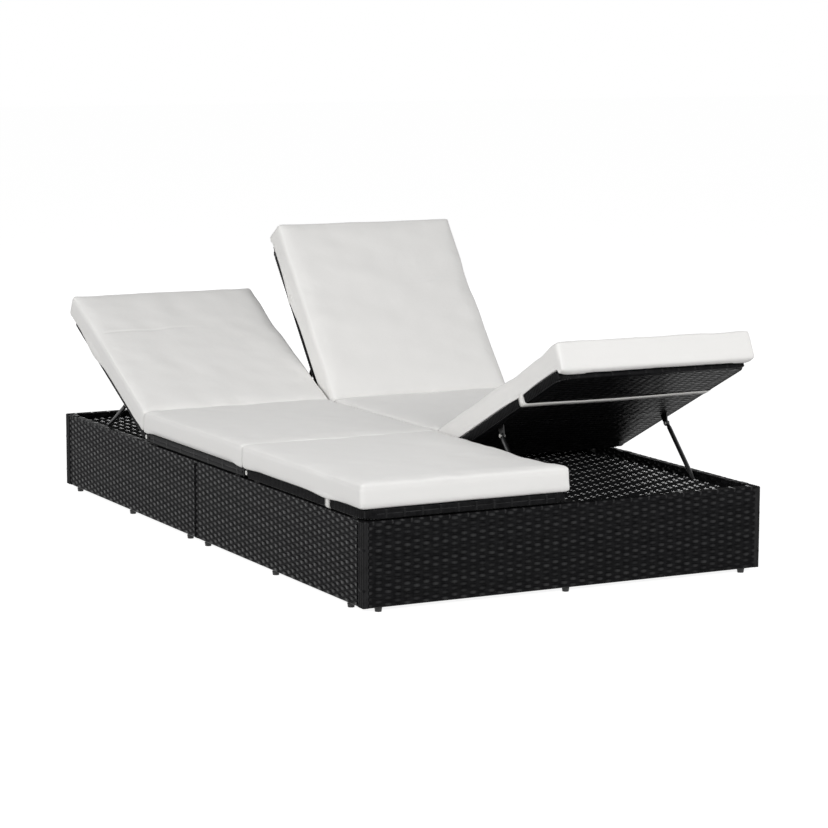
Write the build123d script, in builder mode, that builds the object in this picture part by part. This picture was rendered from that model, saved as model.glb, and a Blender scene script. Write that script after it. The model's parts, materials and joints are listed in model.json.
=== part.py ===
from build123d import *
import os
from math import cos, radians, sin, tan

# A double chaise lounger: two woven loungers side by side on one low base.
# Millimetres. X runs to the right as seen from the foot end, Y towards the head end, Z up.
# The origin is on the floor under the middle of the base.

# Base
base_length = 2000.0
base_width = 1140.0
foot_height = 10.0
wall_height = 214.0
side_wall = 20.0
end_wall = 28.0
seam_y = 16.0
module_gap = 0.4
weave_skin = 1.8
skin_clearance = 0.2
rail = 16.0
shelf_drop = 48.0
tube_wall = 1.2
stake = 10.0

# Feet
foot_radius = 9.6
foot_toe_radius = 8.2
stem_radius = 3.0
stem_length = 5.0
stem_clearance = 0.1
side_foot_inset = 60.0
end_foot_inset = 46.0

# Screws that join the frames
screw_radius = 2.5
screw_head_radius = 4.6
screw_head = 2.4
screw_length = 8.0
screw_hole_clearance = 0.2
plate = 2.5
seat_gap = 0.3
corner_screw_z = (60.0, 165.0)
corner_reach = 12.0
plate_margin = 15.0

# Panels that lie on the rim
panel_gap = 2.0
panel_thickness = 28.0
panel_inset = 2.0
middle_gap = 8.0
panel_tube = 20.0
panel_corner = 35.0
hinge_corner = 6.0
back_hinge_y = 371.0
foot_hinge_y = -312.0
hinge_half_gap = 9.0

# Hinges
bolt_radius = 3.0
running_clearance = 0.05
ear_plate = 3.0
ear_radius = 8.0
side_play = 0.3
bolt_head = 3.4
bolt_head_radius = 6.0
socket_width = 4.6
socket_depth = 1.6
prop_bolt_head = 2.9
prop_bolt_head_radius = 5.1
head_inset = 0.6
nut_thickness = 3.0
nut_width = 10.0

# Props: the rods that hold a raised panel
rod_wall_gap = 3.0
rod_radius = 6.0
eye_radius = 7.0
eye_thickness = 4.0
pivot_below = 24.0
foot_pivot = 302.0
foot_rod = 195.0
back_pivot = 217.0
back_rod = 212.0
rod_start_angle = -4.2
foot_ratio = 2.922
back_ratio = 2.295
foot_max_angle = 38.0
back_max_angle = 51.5
rack_clearance = 0.4
rack_margin = 16.0
rack_thickness = 4.0
rack_leg = 22.0
notch_pitch = 22.0
notch_radius = 5.0
notch_depth = 1.6
rack_screw_offset = 70.0
rack_edge_gap = 2.0

# Deck between the walls
deck_drop = 17.0
deck_thickness = 20.0
deck_tube = 16.0
channel_clearance = 2.7
deck_end_gap = 2.0
lug_width = 36.0
lug_plate = 3.0
front_lugs = (-900.0, -60.0)
rear_lugs = (120.0, 900.0)
lug_flange = 26.0

# Centre beam
beam_width = 36.0
beam_height = 84.0
beam_post = 22.0
beam_posts = (-700.0, 0.0, 700.0)
beam_flange = 20.0
beam_screw_up = 14.0
beam_screw_down = 20.0

# Seat tabs and rubber buffers
seat_tabs = (-210.0, 260.0)
tab_width = 30.0
tab_screw_drop = 12.0
tab_end = 12.0
buffer_length = 30.0
buffer_width = 10.0
buffer_end = 60.0

# Soft parts
cushion_margin = 2.5
cushion_overhang = 14.0
cushion_edge = 55.0
cushion_crown = 6.0
cushion_gap = 0.3
cushion_bulge = 2.5
cushion_draw = 4.0
end_taper = 6.0
# How far each cushion reaches past its panel's free end: folding one up pushes it outward
cushion_reach = {"left_back": 8.0, "right_back": 26.0, "left_foot": 10.0, "right_foot": 28.0}
mitre_clearance = 0.6
strap_width = 30.0
strap_thickness = 1.2
strap_gap = 0.3
strap_from_end = 200.0

# The pose at rest: each hinged panel's angle above level
rest_angle = {"left_back": 26.6, "right_back": 51.5, "left_foot": 0.0, "right_foot": 25.7}

rim_z = foot_height + wall_height
wall_mid_z = foot_height + wall_height / 2
shelf_rail_z = rim_z - shelf_drop
skin = weave_skin + skin_clearance
inner_x = base_width / 2 - side_wall
inner_y = base_length / 2 - end_wall
hinge_z = rim_z + panel_gap + panel_thickness / 2
half_panel = panel_thickness / 2
pivot_drop = half_panel + pivot_below
panel_width = base_width / 2 - panel_inset - middle_gap / 2
panel_centre = middle_gap / 2 + panel_width / 2
back_length = base_length / 2 - panel_inset - back_hinge_y
foot_length = base_length / 2 - panel_inset + foot_hinge_y
deck_top = rim_z - deck_drop
deck_mid = deck_top - deck_thickness / 2
beam_half = beam_width / 2
prop_x = inner_x - rod_wall_gap - rod_radius - panel_centre
prop_ear_x = prop_x - eye_thickness / 2 - side_play - ear_plate
deck_high_x = panel_centre + prop_ear_x - nut_thickness - channel_clearance
deck_low_x = panel_centre - prop_ear_x + nut_thickness + channel_clearance
sides = {"left": -1, "right": 1}

os.makedirs("parts", exist_ok=True)


def save(piece, label):
    """Label a finished piece and write its file."""
    piece.part.label = label
    export_step(piece.part, f"parts/{label}.step")
    print(label, len(piece.part.solids()), round(piece.part.volume))


def block(plane, across, along, up, mode=Mode.ADD):
    """A block between the low and high value of each pair, in the plane's own axes."""
    with BuildSketch(plane.offset(up[0])) as base:
        with Locations(((across[0] + across[1]) / 2, (along[0] + along[1]) / 2)):
            Rectangle(across[1] - across[0], along[1] - along[0])
    extrude(base.sketch, amount=up[1] - up[0], mode=mode)


def round_bar(plane, radius, low, high, mode=Mode.ADD):
    """A round bar or bore along the plane's normal."""
    with BuildSketch(plane.offset(low)) as circle:
        Circle(radius)
    extrude(circle.sketch, amount=high - low, mode=mode)


def tube_bar(plane, across, along, depth):
    """A hollow bar that spans a frame, with its tube open only to the frame's own walls."""
    wide = across[1] - across[0] < along[1] - along[0]
    block(plane, across, along, (-depth / 2, depth / 2))
    hollow = depth / 2 - tube_wall
    if wide:
        across = (across[0] + tube_wall, across[1] - tube_wall)
    else:
        along = (along[0] + tube_wall, along[1] - tube_wall)
    block(plane, across, along, (-hollow, hollow), mode=Mode.SUBTRACT)


def lengthwise(plane, across):
    """The plane that stands on a panel's side at the distance across, seen from its side."""
    return Plane(origin=plane.from_local_coords((across, 0, 0)), x_dir=plane.y_dir, z_dir=plane.x_dir)


def drill(spots, radius):
    """A screw's hole at each spot."""
    for spot in spots:
        round_bar(spot, radius, -1, screw_length + 1, mode=Mode.SUBTRACT)


def drill_feet(points, radius):
    """The hole of a foot's stem at each point."""
    for x, y in points:
        round_bar(Plane((x, y, foot_height)), radius, -1, stem_length + 1, mode=Mode.SUBTRACT)


# Walls: each is a welded ring of tube in a woven sleeve
wall_planes = {
    "foot_end": Plane((0, -base_length / 2 + end_wall / 2, wall_mid_z), x_dir=(1, 0, 0), z_dir=(0, -1, 0)),
    "head_end": Plane((0, base_length / 2 - end_wall / 2, wall_mid_z), x_dir=(1, 0, 0), z_dir=(0, -1, 0)),
}
wall_lengths = {"foot_end": base_width, "head_end": base_width}
wall_depths = {"foot_end": end_wall, "head_end": end_wall}
end_foot_x = base_width / 2 - end_foot_inset
foot_points = {
    name: [(x, plane.origin.Y) for x in (-end_foot_x, 0, end_foot_x)]
    for name, plane in wall_planes.items()
}
half_walls = {
    "front": (-inner_y + module_gap, seam_y - module_gap / 2),
    "rear": (seam_y + module_gap / 2, inner_y - module_gap),
}
for side_name, side in sides.items():
    for half, (low_y, high_y) in half_walls.items():
        name = f"{side_name}_{half}"
        wall_x = side * (base_width / 2 - side_wall / 2)
        middle = (wall_x, (low_y + high_y) / 2, wall_mid_z)
        wall_planes[name] = Plane(middle, x_dir=(0, 1, 0), z_dir=(1, 0, 0))
        wall_lengths[name] = high_y - low_y
        wall_depths[name] = side_wall
        foot_y = (low_y + side_foot_inset, (low_y + high_y) / 2, high_y - side_foot_inset)
        foot_points[name] = [(wall_x, y) for y in foot_y]


def prop_path(pivot, rod, ratio, angle):
    """Where a prop's foot is: how far from the panel's hinge, and its height."""
    turn = radians(rod_start_angle + ratio * angle - angle)
    lift = radians(angle)
    reach = pivot * cos(lift) + pivot_drop * sin(lift) + rod * cos(turn)
    height = hinge_z + pivot * sin(lift) - pivot_drop * cos(lift) - rod * sin(turn)
    return reach, height


def rack_span(pivot, rod, ratio, max_angle):
    """The nearest and furthest end of a rack from the hinge, and its top."""
    path = [prop_path(pivot, rod, ratio, max_angle * step / 80) for step in range(81)]
    reaches = [reach for reach, height in path]
    top = min(height for reach, height in path) - rod_radius - rack_clearance
    return min(reaches) - rack_margin, max(reaches) + rack_margin, top


# Each rack's place: Y of its two ends and Z of its top
near, far, top = rack_span(foot_pivot, foot_rod, foot_ratio, foot_max_angle)
racks = {"foot": (foot_hinge_y - far, foot_hinge_y - near, top)}
near, far, top = rack_span(back_pivot, back_rod, back_ratio, back_max_angle)
racks["back"] = (back_hinge_y + near, back_hinge_y + far, top)
print("rack tops", racks)

# Screws: each spot is the plane of the seat under the head, pointing into what it holds
screw_spots = {name: [] for name in (*wall_planes, "beam")}
tab_spots = []
lug_spots = []
rack_spots = []
joint_spots = []
end_spots = []
for side_name, side in sides.items():
    wall_seat_x = side * (inner_x - seat_gap - plate)
    beam_seat_x = side * (beam_half + seat_gap + plate)
    outward = (side, 0, 0)
    inward = (-side, 0, 0)
    for y in seat_tabs:
        tab_spots.append(Plane((wall_seat_x, y, rim_z - tab_screw_drop), z_dir=outward))
        tab_spots.append(Plane((beam_seat_x, y, rim_z - tab_screw_drop), z_dir=inward))
    for y in front_lugs + rear_lugs:
        lug_spots.append(Plane((wall_seat_x, y, shelf_rail_z), z_dir=outward))
        lug_spots.append(Plane((beam_seat_x, y, shelf_rail_z), z_dir=inward))
    for low_y, high_y, top in racks.values():
        for y in ((low_y + high_y) / 2 - rack_screw_offset, (low_y + high_y) / 2 + rack_screw_offset):
            rack_spots.append(Plane((wall_seat_x, y, shelf_rail_z), z_dir=outward))
            rack_spots.append(Plane((beam_seat_x, y, shelf_rail_z), z_dir=inward))
    for z in corner_screw_z:
        for y in (seam_y - rail / 2, seam_y + rail / 2, -inner_y + corner_reach, inner_y - corner_reach):
            joint_spots.append(Plane((wall_seat_x, y, z), z_dir=outward))
        for end in (-1, 1):
            corner_x = side * (inner_x - corner_reach)
            joint_spots.append(Plane((corner_x, end * (inner_y - seat_gap - plate), z), z_dir=(0, end, 0)))
beam_screw_x = beam_half + beam_flange / 2
beam_screw_z = (rim_z - beam_height + beam_screw_up, rim_z - beam_screw_down)
for end in (-1, 1):
    for x in (-beam_screw_x, beam_screw_x):
        for z in beam_screw_z:
            end_spots.append(Plane((x, end * (inner_y - seat_gap - plate), z), z_dir=(0, end, 0)))
all_spots = tab_spots + lug_spots + rack_spots + joint_spots + end_spots
for spot in all_spots:
    if abs(spot.z_dir.Y) > 0.5:
        screw_spots["head_end" if spot.z_dir.Y > 0 else "foot_end"].append(spot)
    elif abs(spot.origin.X) < base_width / 4:
        screw_spots["beam"].append(spot)
    else:
        side_name = "left" if spot.origin.X < 0 else "right"
        screw_spots[f"{side_name}_{'front' if spot.origin.Y < seam_y else 'rear'}"].append(spot)

for name, plane in wall_planes.items():
    length = wall_lengths[name]
    depth = wall_depths[name] - 2 * skin
    height = wall_height - 2 * skin
    with BuildPart() as wall_frame:
        block(plane, (-length / 2, length / 2), (-height / 2, height / 2), (-depth / 2, depth / 2))
        ring = (length / 2 - rail, height / 2 - rail)
        block(plane, (-ring[0], ring[0]), (-ring[1], ring[1]), (-depth / 2, depth / 2), mode=Mode.SUBTRACT)
        with BuildSketch(plane.offset(-depth / 2 + tube_wall)):
            Rectangle(length - 2 * tube_wall, height - 2 * tube_wall)
            Rectangle(2 * (ring[0] + tube_wall), 2 * (ring[1] + tube_wall), mode=Mode.SUBTRACT)
        extrude(amount=depth - 2 * tube_wall, mode=Mode.SUBTRACT)
        if name in ("foot_end", "head_end"):
            for x in (-beam_screw_x, beam_screw_x, -inner_x + corner_reach, inner_x - corner_reach):
                tube_bar(plane, (x - stake / 2, x + stake / 2), (-ring[1], ring[1]), depth)
        else:
            shelf = shelf_rail_z - wall_mid_z
            tube_bar(plane, (-ring[0], ring[0]), (shelf - rail / 2, shelf + rail / 2), depth)
            for share in (-1, 0, 1):
                x = share * length / 4
                tube_bar(plane, (x - stake / 2, x + stake / 2), (-ring[1], shelf - rail / 2), depth)
        drill(screw_spots[name], screw_radius + running_clearance)
        drill_feet(foot_points[name], stem_radius + stem_clearance)
    save(wall_frame, f"{name}_frame")

    with BuildPart() as wall_weave:
        span = (-length / 2, length / 2)
        outer = (wall_height / 2, wall_depths[name] / 2)
        block(plane, span, (-outer[0], outer[0]), (-outer[1], outer[1]))
        inner = (outer[0] - weave_skin, outer[1] - weave_skin)
        block(plane, span, (-inner[0], inner[0]), (-inner[1], inner[1]), mode=Mode.SUBTRACT)
        drill(screw_spots[name], screw_radius + screw_hole_clearance)
        drill_feet(foot_points[name], stem_radius + stem_clearance)
    save(wall_weave, f"{name}_weave")

# Centre beam under the inner edges of both loungers, on three posts, between its two end plates
beam_end = inner_y - seat_gap - plate
beam_plane = Plane((0, 0, rim_z - beam_height / 2))
with BuildPart() as centre_beam:
    half = beam_height / 2
    block(beam_plane, (-beam_half, beam_half), (-beam_end, beam_end), (-half, half))
    core_x, core_z = beam_half - tube_wall, half - tube_wall
    block(beam_plane, (-core_x, core_x), (-beam_end, beam_end), (-core_z, core_z), mode=Mode.SUBTRACT)
    for y in beam_posts:
        post = beam_post / 2
        bottom = foot_height - beam_plane.origin.Z
        block(beam_plane, (-post, post), (y - post, y + post), (bottom, -half))
        core = post - tube_wall
        core_up = (bottom + tube_wall, -half)
        block(beam_plane, (-core, core), (y - core, y + core), core_up, mode=Mode.SUBTRACT)
    drill(screw_spots["beam"], screw_radius + running_clearance)
    drill_feet([(0, y) for y in beam_posts], stem_radius + stem_clearance)
save(centre_beam, "centre_beam")
foot_points["beam"] = [(0, y) for y in beam_posts]

# Feet: black glides with a stem pressed into the frame
with BuildPart() as feet:
    for points in foot_points.values():
        for x, y in points:
            with BuildSketch(Plane((x, y, 0))):
                Circle(foot_toe_radius)
            with BuildSketch(Plane((x, y, foot_height))):
                Circle(foot_radius)
            loft()
            round_bar(Plane((x, y, foot_height)), stem_radius, 0, stem_length)
save(feet, "feet")

# Angle plates in the four corners, flat plates across the two side seams and the beam's end plates
with BuildPart() as joint_plates:
    low_z, high_z = corner_screw_z[0] - plate_margin, corner_screw_z[1] + plate_margin
    flat = Plane((0, 0, 0))
    leg = 2 * corner_reach
    for side in sides.values():
        outer_x = inner_x - seat_gap
        wall_leg = sorted((side * outer_x, side * (outer_x - plate)))
        end_leg = sorted((side * outer_x, side * (outer_x - leg)))
        block(flat, wall_leg, (seam_y - rail, seam_y + rail), (low_z, high_z))
        for end in (-1, 1):
            outer_y = inner_y - seat_gap
            block(flat, wall_leg, sorted((end * outer_y, end * (outer_y - leg))), (low_z, high_z))
            block(flat, end_leg, sorted((end * outer_y, end * (outer_y - plate))), (low_z, high_z))
    for end in (-1, 1):
        flange_y = sorted((end * beam_end, end * (beam_end + plate)))
        block(beam_plane, (-beam_half - beam_flange, beam_half + beam_flange), flange_y, (-half, half))
    drill(joint_spots, screw_radius + screw_hole_clearance)
    drill(end_spots, screw_radius + running_clearance)
save(joint_plates, "joint_plates")

with BuildPart() as frame_screws:
    for spot in all_spots:
        round_bar(spot, screw_radius, 0, screw_length)
        round_bar(spot, screw_head_radius, -screw_head, 0)
save(frame_screws, "frame_screws")

# Racks: notched angles that the props' feet stand on
with BuildPart() as prop_racks:
    for side in sides.values():
        for low_y, high_y, top in racks.values():
            wall_face = inner_x - seat_gap
            beam_face = beam_half + seat_gap
            wall_edge = deck_high_x + rack_edge_gap
            beam_edge = deck_low_x - rack_edge_gap
            for face, edge in ((wall_face, wall_edge), (beam_face, beam_edge)):
                web = face + plate if edge > face else face - plate
                block(flat, sorted((side * face, side * edge)), (low_y, high_y), (top - rack_thickness, top))
                leg_up = (top - rack_leg, top - rack_thickness)
                block(flat, sorted((side * face, side * web)), (low_y, high_y), leg_up)
            count = int((high_y - low_y - 2 * notch_radius) / notch_pitch)
            for step in range(count + 1):
                y = (low_y + high_y) / 2 + (step - count / 2) * notch_pitch
                notch = Plane((0, y, top + notch_radius - notch_depth), x_dir=(0, 1, 0), z_dir=(1, 0, 0))
                lengths = (0, base_width / 2) if side > 0 else (-base_width / 2, 0)
                round_bar(notch, notch_radius, *lengths, mode=Mode.SUBTRACT)
    drill(rack_spots, screw_radius + screw_hole_clearance)
save(prop_racks, "prop_racks")

# Deck: four woven panels, each on its own frame with screwed lugs
deck_width = deck_high_x - deck_low_x
deck_halves = {
    "front": (-inner_y + deck_end_gap, seam_y - deck_end_gap / 2, front_lugs),
    "rear": (seam_y + deck_end_gap / 2, inner_y - deck_end_gap, rear_lugs),
}
deck_depth = deck_thickness - 2 * skin
lug_top = deck_mid + lug_plate / 2
for half, (low_y, high_y, lugs) in deck_halves.items():
    with BuildPart() as deck_frames:
        for side in sides.values():
            deck_plane = Plane((side * (deck_low_x + deck_high_x) / 2, (low_y + high_y) / 2, deck_mid))
            reach = (deck_width / 2 - skin, (high_y - low_y) / 2 - skin)
            ring = (reach[0] - deck_tube, reach[1] - deck_tube)
            up = (-deck_depth / 2, deck_depth / 2)
            block(deck_plane, (-reach[0], reach[0]), (-reach[1], reach[1]), up)
            block(deck_plane, (-ring[0], ring[0]), (-ring[1], ring[1]), up, mode=Mode.SUBTRACT)
            with BuildSketch(deck_plane.offset(-deck_depth / 2 + tube_wall)):
                Rectangle(2 * (reach[0] - tube_wall), 2 * (reach[1] - tube_wall))
                Rectangle(2 * (ring[0] + tube_wall), 2 * (ring[1] + tube_wall), mode=Mode.SUBTRACT)
            extrude(amount=deck_depth - 2 * tube_wall, mode=Mode.SUBTRACT)
            for share in (-1, 1):
                y = share * reach[1] / 3
                tube_bar(deck_plane, (-ring[0], ring[0]), (y - deck_tube / 2, y + deck_tube / 2), deck_depth)
            for y in lugs:
                span = (y - lug_width / 2, y + lug_width / 2)
                wall_face = inner_x - seat_gap
                beam_face = beam_half + seat_gap
                ends = ((deck_high_x - skin, wall_face, -1), (deck_low_x + skin, beam_face, 1))
                for root, face, turn in ends:
                    block(flat, sorted((side * root, side * face)), span, (lug_top - lug_plate, lug_top))
                    flange_x = sorted((side * face, side * (face + turn * plate)))
                    block(flat, flange_x, span, (lug_top - lug_flange, lug_top - lug_plate))
        drill(lug_spots, screw_radius + screw_hole_clearance)
    save(deck_frames, f"{half}_deck_frames")
    for side_name, side in sides.items():
        deck_plane = Plane((side * (deck_low_x + deck_high_x) / 2, (low_y + high_y) / 2, deck_mid))
        with BuildPart() as deck_weave:
            reach = (deck_width / 2, (high_y - low_y) / 2, deck_thickness / 2)
            block(deck_plane, (-reach[0], reach[0]), (-reach[1], reach[1]), (-reach[2], reach[2]))
            core_x, core_y, core_z = (value - weave_skin for value in reach)
            block(deck_plane, (-core_x, core_x), (-core_y, core_y), (-core_z, core_z), mode=Mode.SUBTRACT)
            for y in lugs:
                slot_y = (y - lug_width / 2 - skin_clearance, y + lug_width / 2 + skin_clearance)
                slot_z = (lug_top - lug_plate - skin_clearance, lug_top + skin_clearance)
                slot_x = sorted((side * (deck_low_x - 1), side * (deck_low_x + skin)))
                block(flat, slot_x, slot_y, slot_z, mode=Mode.SUBTRACT)
                slot_x = sorted((side * (deck_high_x - skin), side * (deck_high_x + 1)))
                block(flat, slot_x, slot_y, slot_z, mode=Mode.SUBTRACT)
        save(deck_weave, f"{side_name}_{half}_deck_weave")

# Panels
panel_depth = panel_thickness - 2 * skin
seat_ear_x = panel_width / 2 - head_inset - bolt_head - ear_plate
panel_ear_x = seat_ear_x - side_play - ear_plate


def panel_block(plane, margin, near, far, low, high, near_radius, far_radius, mode=Mode.ADD):
    """A panel's outline with rounded corners, drawn in all round by the margin."""
    with BuildSketch(plane.offset(low)) as outline:
        with Locations((0, (near + far) / 2)):
            Rectangle(panel_width - 2 * margin, far - near - 2 * margin)
        fillet(outline.vertices().group_by(Axis.Y)[0], near_radius - min(margin, near_radius / 2))
        fillet(outline.vertices().group_by(Axis.Y)[-1], far_radius - min(margin, far_radius / 2))
    extrude(outline.sketch, amount=high - low, mode=mode)


def panel_ring(plane, near, far, near_radius, far_radius):
    """A panel's welded ring of tube."""
    half = panel_depth / 2
    panel_block(plane, skin, near, far, -half, half, near_radius, far_radius)
    radii = (near_radius, far_radius)
    panel_block(plane, skin + panel_tube, near, far, -half, half, *radii, mode=Mode.SUBTRACT)
    with BuildPart(mode=Mode.PRIVATE) as bore:
        low, high = -half + tube_wall, half - tube_wall
        panel_block(plane, skin + tube_wall, near, far, low, high, *radii)
        panel_block(plane, skin + panel_tube - tube_wall, near, far, low, high, *radii, mode=Mode.SUBTRACT)
    add(bore.part, mode=Mode.SUBTRACT)


def hinge_ear(plane, across, root):
    """A round-ended plate at the hinge, from the panel's end tube to past the axis."""
    with BuildSketch(lengthwise(plane, across)) as ear:
        with Locations((root / 2, 0)):
            Rectangle(abs(root), 2 * ear_radius)
        Circle(ear_radius)
        Circle(bolt_radius + running_clearance, mode=Mode.SUBTRACT)
    extrude(ear.sketch, amount=ear_plate)


def prop_ear(plane, across, pivot):
    """A plate that hangs under the panel and carries one prop's bolt."""
    top = -panel_depth / 2
    with BuildSketch(lengthwise(plane, across)) as ear:
        with BuildLine():
            Polyline(
                (pivot - 2 * ear_radius, top),
                (pivot + 2 * ear_radius, top),
                (pivot + ear_radius, -pivot_drop),
                (pivot - ear_radius, -pivot_drop),
                close=True,
            )
        make_face()
        with Locations((pivot, -pivot_drop)):
            Circle(ear_radius)
            Circle(bolt_radius + running_clearance, mode=Mode.SUBTRACT)
    extrude(ear.sketch, amount=ear_plate)


def cushion(plane, outward, near, far, near_half_angle, far_half_angle):
    """A crowned box cushion between its two ends, mitred where it folds beside another."""
    low = half_panel + cushion_gap
    middle = outward * (cushion_overhang - cushion_margin) / 2
    widest = panel_width / 2 + (cushion_margin + cushion_overhang) / 2
    sections = []
    ends = (0.0, 0.0)
    stations = [near, far]
    if far_half_angle is None:
        stations = [near, far - 1.6 * end_taper, far - 0.5 * end_taper, far]
        ends = (0.0, 0.0, 0.35, 1.0)
    body = stations[1] - near
    stations[1:1] = [near + share * body for share in (0.2, 0.4, 0.6, 0.8)]
    pinches = (ends[0],) + (0.0,) * 4 + ends[1:]
    for along, pinch in zip(stations, pinches):
        share = min(1.0, (along - near) / body)
        swell = 4 * share * (1 - share)
        half = widest - cushion_bulge - pinch * end_taper - swell * cushion_draw
        height = cushion_edge - pinch * end_taper
        crown = cushion_crown * (0.5 + 0.5 * swell) * (1 - 0.7 * pinch)
        station = Plane(
            origin=plane.from_local_coords((middle, along, low)), x_dir=plane.x_dir, z_dir=-plane.y_dir
        )
        lift = pinch * end_taper / 2
        with BuildSketch(station) as section:
            with BuildLine():
                Line((-half, lift), (half, lift))
                ThreePointArc((half, lift), (half + cushion_bulge, lift + height / 2), (half, lift + height))
                ThreePointArc((half, lift + height), (0, lift + height + crown), (-half, lift + height))
                bulge = half + cushion_bulge
                ThreePointArc((-half, lift + height), (-bulge, lift + height / 2), (-half, lift))
            make_face()
        sections.append(section.sketch)
    loft(sections, ruled=True)
    for end, half_angle, sign in ((near, near_half_angle, -1), (far, far_half_angle, 1)):
        if half_angle is None:
            continue
        rise = 2 * (cushion_edge + cushion_crown) + low
        hinge_v = end
        with BuildSketch(lengthwise(plane, -panel_width)) as wedge:
            with BuildLine():
                lean = rise * tan(radians(half_angle)) + mitre_clearance
                Polyline(
                    (hinge_v + sign * panel_width, 0),
                    (hinge_v - sign * mitre_clearance, 0),
                    (hinge_v - sign * lean, rise),
                    (hinge_v + sign * panel_width, rise),
                    close=True,
                )
            make_face()
        extrude(wedge.sketch, amount=2 * panel_width, mode=Mode.SUBTRACT)


for side_name, side in sides.items():
    seat_plane = Plane((side * panel_centre, 0, hinge_z))
    near, far = foot_hinge_y + hinge_half_gap, back_hinge_y - hinge_half_gap
    ring_in = panel_width / 2 - skin - panel_tube
    beam_face = beam_half + seat_gap
    tab_x = ((inner_x - seat_gap - plate, inner_x - seat_gap), (beam_face, beam_face + plate))
    wall_foot = (tab_x[0][0], max(tab_x[0][1], panel_centre + ring_in + tube_wall))
    beam_foot = (min(tab_x[1][0], panel_centre - ring_in - tube_wall), tab_x[1][1])
    with BuildPart() as seat_frame:
        panel_ring(seat_plane, near, far, hinge_corner, hinge_corner)
        for share in (1 / 3, 2 / 3):
            y = near + share * (far - near)
            tube_bar(seat_plane, (-ring_in, ring_in), (y - panel_tube / 2, y + panel_tube / 2), panel_depth)
        for ear_x in (seat_ear_x, -seat_ear_x - ear_plate):
            hinge_ear(Plane((side * panel_centre, back_hinge_y, hinge_z)), ear_x, -hinge_half_gap - skin)
            hinge_ear(Plane((side * panel_centre, foot_hinge_y, hinge_z)), ear_x, hinge_half_gap + skin)
        for y in seat_tabs:
            for low_x, high_x in tab_x:
                span = (y - tab_width / 2, y + tab_width / 2)
                up = (rim_z - tab_screw_drop - tab_end, hinge_z - panel_depth / 2)
                block(flat, sorted((side * low_x, side * high_x)), span, up)
            up = (hinge_z - panel_depth / 2, hinge_z - panel_depth / 2 + tube_wall)
            for low_x, high_x in (wall_foot, beam_foot):
                block(flat, sorted((side * low_x, side * high_x)), span, up)
        drill(tab_spots, screw_radius + screw_hole_clearance)
    save(seat_frame, f"{side_name}_seat_frame")

    with BuildPart() as seat_weave:
        panel_block(seat_plane, 0, near, far, -half_panel, half_panel, hinge_corner, hinge_corner)
        core = half_panel - weave_skin
        radii = (hinge_corner, hinge_corner)
        panel_block(seat_plane, weave_skin, near, far, -core, core, *radii, mode=Mode.SUBTRACT)
        for ear_x in (seat_ear_x, -seat_ear_x - ear_plate):
            slot_x = (ear_x - skin_clearance, ear_x + ear_plate + skin_clearance)
            slot_z = (-ear_radius - skin_clearance, ear_radius + skin_clearance)
            block(seat_plane, slot_x, (near - 1, near + skin), slot_z, mode=Mode.SUBTRACT)
            block(seat_plane, slot_x, (far - skin, far + 1), slot_z, mode=Mode.SUBTRACT)
        for y in seat_tabs:
            for low_x, high_x in tab_x:
                slot_x = sorted((side * (low_x - skin_clearance), side * (high_x + skin_clearance)))
                slot_y = (y - tab_width / 2 - skin_clearance, y + tab_width / 2 + skin_clearance)
                slot_z = (hinge_z - half_panel - 1, hinge_z - half_panel + skin)
                block(flat, slot_x, slot_y, slot_z, mode=Mode.SUBTRACT)
    save(seat_weave, f"{side_name}_seat_weave")

    with BuildPart() as seat_cushion:
        cushion(seat_plane, side, foot_hinge_y, back_hinge_y, foot_max_angle / 2, back_max_angle / 2)
    save(seat_cushion, f"{side_name}_seat_cushion")

panels = {}
for side_name, side in sides.items():
    lift = radians(rest_angle[f"{side_name}_back"])
    hinge = (side * panel_centre, back_hinge_y, hinge_z)
    panels[f"{side_name}_back"] = (
        Plane(hinge, x_dir=(1, 0, 0), z_dir=(0, -sin(lift), cos(lift))),
        back_length, back_pivot, back_rod, back_ratio, back_max_angle,
    )
    lift = radians(rest_angle[f"{side_name}_foot"])
    hinge = (side * panel_centre, foot_hinge_y, hinge_z)
    panels[f"{side_name}_foot"] = (
        Plane(hinge, x_dir=(-1, 0, 0), z_dir=(0, sin(lift), cos(lift))),
        foot_length, foot_pivot, foot_rod, foot_ratio, foot_max_angle,
    )

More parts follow.
